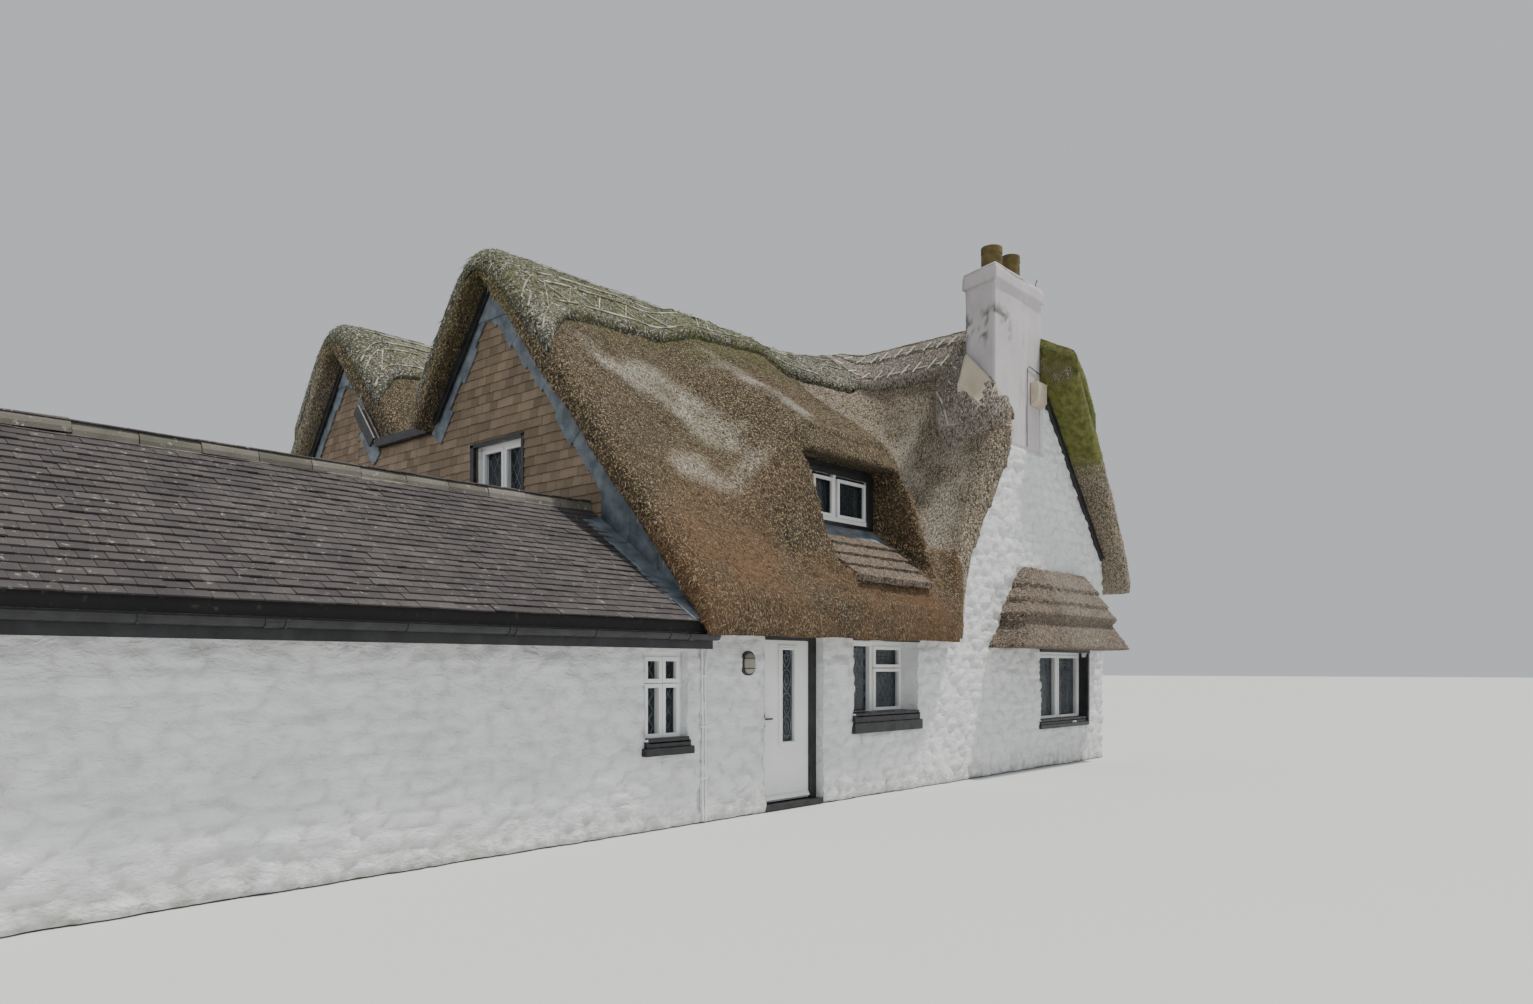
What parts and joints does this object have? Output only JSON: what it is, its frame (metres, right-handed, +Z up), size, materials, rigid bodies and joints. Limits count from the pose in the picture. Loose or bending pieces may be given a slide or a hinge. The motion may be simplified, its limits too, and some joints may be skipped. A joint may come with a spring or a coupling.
{
  "type": "thatched cottage",
  "caption": "Thatched cottage with gabled ranges, an eyebrow dormer, a gable chimney, a thatched window canopy, a low tiled wing and a hinged front door.",
  "frame": {"origin": "middle of the plan on the ground", "axes": "+X along the front to the right, +Y from the front to the back, +Z up"},
  "size_m": [17.22, 11.94, 8.11],
  "materials": {
    "limewashed_stone": "uneven white limewash over rubble, matt",
    "floor": "worn plain floor, matt",
    "floor_boards": "plain boards, matt",
    "thatch": "weathered brown reed thatch, matt",
    "ridge_thatch": "mossy block cut ridge thatch with rods, matt",
    "clay_tile": "brown plain clay tiles with lichen, matt",
    "lead": "weathered blue grey lead sheet, dull",
    "black_paint": "black paint, satin",
    "white_paint": "white paint, satin",
    "glass": "clear window glass",
    "chimney_render": "stained white painted render, matt",
    "cement": "beige cement fillet, matt",
    "clay_pot": "olive brown clay with lichen, matt",
    "black_iron": "black iron, satin"
  },
  "bodies": {
    "house": {"front_wall_left": "limewashed_stone", "front_wall_over_door": "limewashed_stone", "front_wall_right": "limewashed_stone", "front_gable_wall": "limewashed_stone", "left_gable_wall": "limewashed_stone", "rear_wall": "limewashed_stone", "right_wall": "limewashed_stone", "ground_floor": "floor", "upper_floor": "floor_boards", "main_thatch": "thatch", "rear_thatch": "thatch", "cross_thatch": "thatch", "main_ridge": "ridge_thatch", "rear_ridge": "ridge_thatch", "cross_ridge": "ridge_thatch", "chimney_stack": "chimney_render", "chimney_shoulder": "cement", "chimney_pot_left": "clay_pot", "chimney_pot_right": "clay_pot", "canopy_thatch": "thatch", "dormer_surround": "black_paint", "dormer_frame": "white_paint", "dormer_glass": "glass", "door_frame": "black_paint", "front_window_frame": "white_paint", "front_window_glass": "glass", "canopy_window_frame": "white_paint", "canopy_window_glass": "glass", "wing_window_frame": "white_paint", "wing_window_glass": "glass", "gable_window_frame": "white_paint", "gable_window_glass": "glass", "rear_glazing": "glass", "right_glazing": "glass", "gable_tiles": "clay_tile", "rear_gable_tiles": "clay_tile", "valley_roof": "lead", "valley_gutter": "black_paint", "wing_front_wall": "limewashed_stone", "wing_rear_wall": "limewashed_stone", "wing_end_wall": "limewashed_stone", "wing_floor": "floor", "wing_roof_front": "clay_tile", "wing_roof_back": "clay_tile", "wing_ridge_tiles": "clay_tile", "wing_fascia": "black_paint", "wing_gutter": "black_paint", "wall_lamp": "white_paint"},
    "door": {"front_door": "white_paint", "door_glass": "glass", "door_handle": "black_iron"}
  },
  "joints": [
    {"name": "front_door_hinge", "type": "hinge", "parent": "house", "child": "door", "pos_m": [-0.262, -5.177, 1], "axis": [0, 0, -1], "range_deg": [0, 90]}
  ]
}
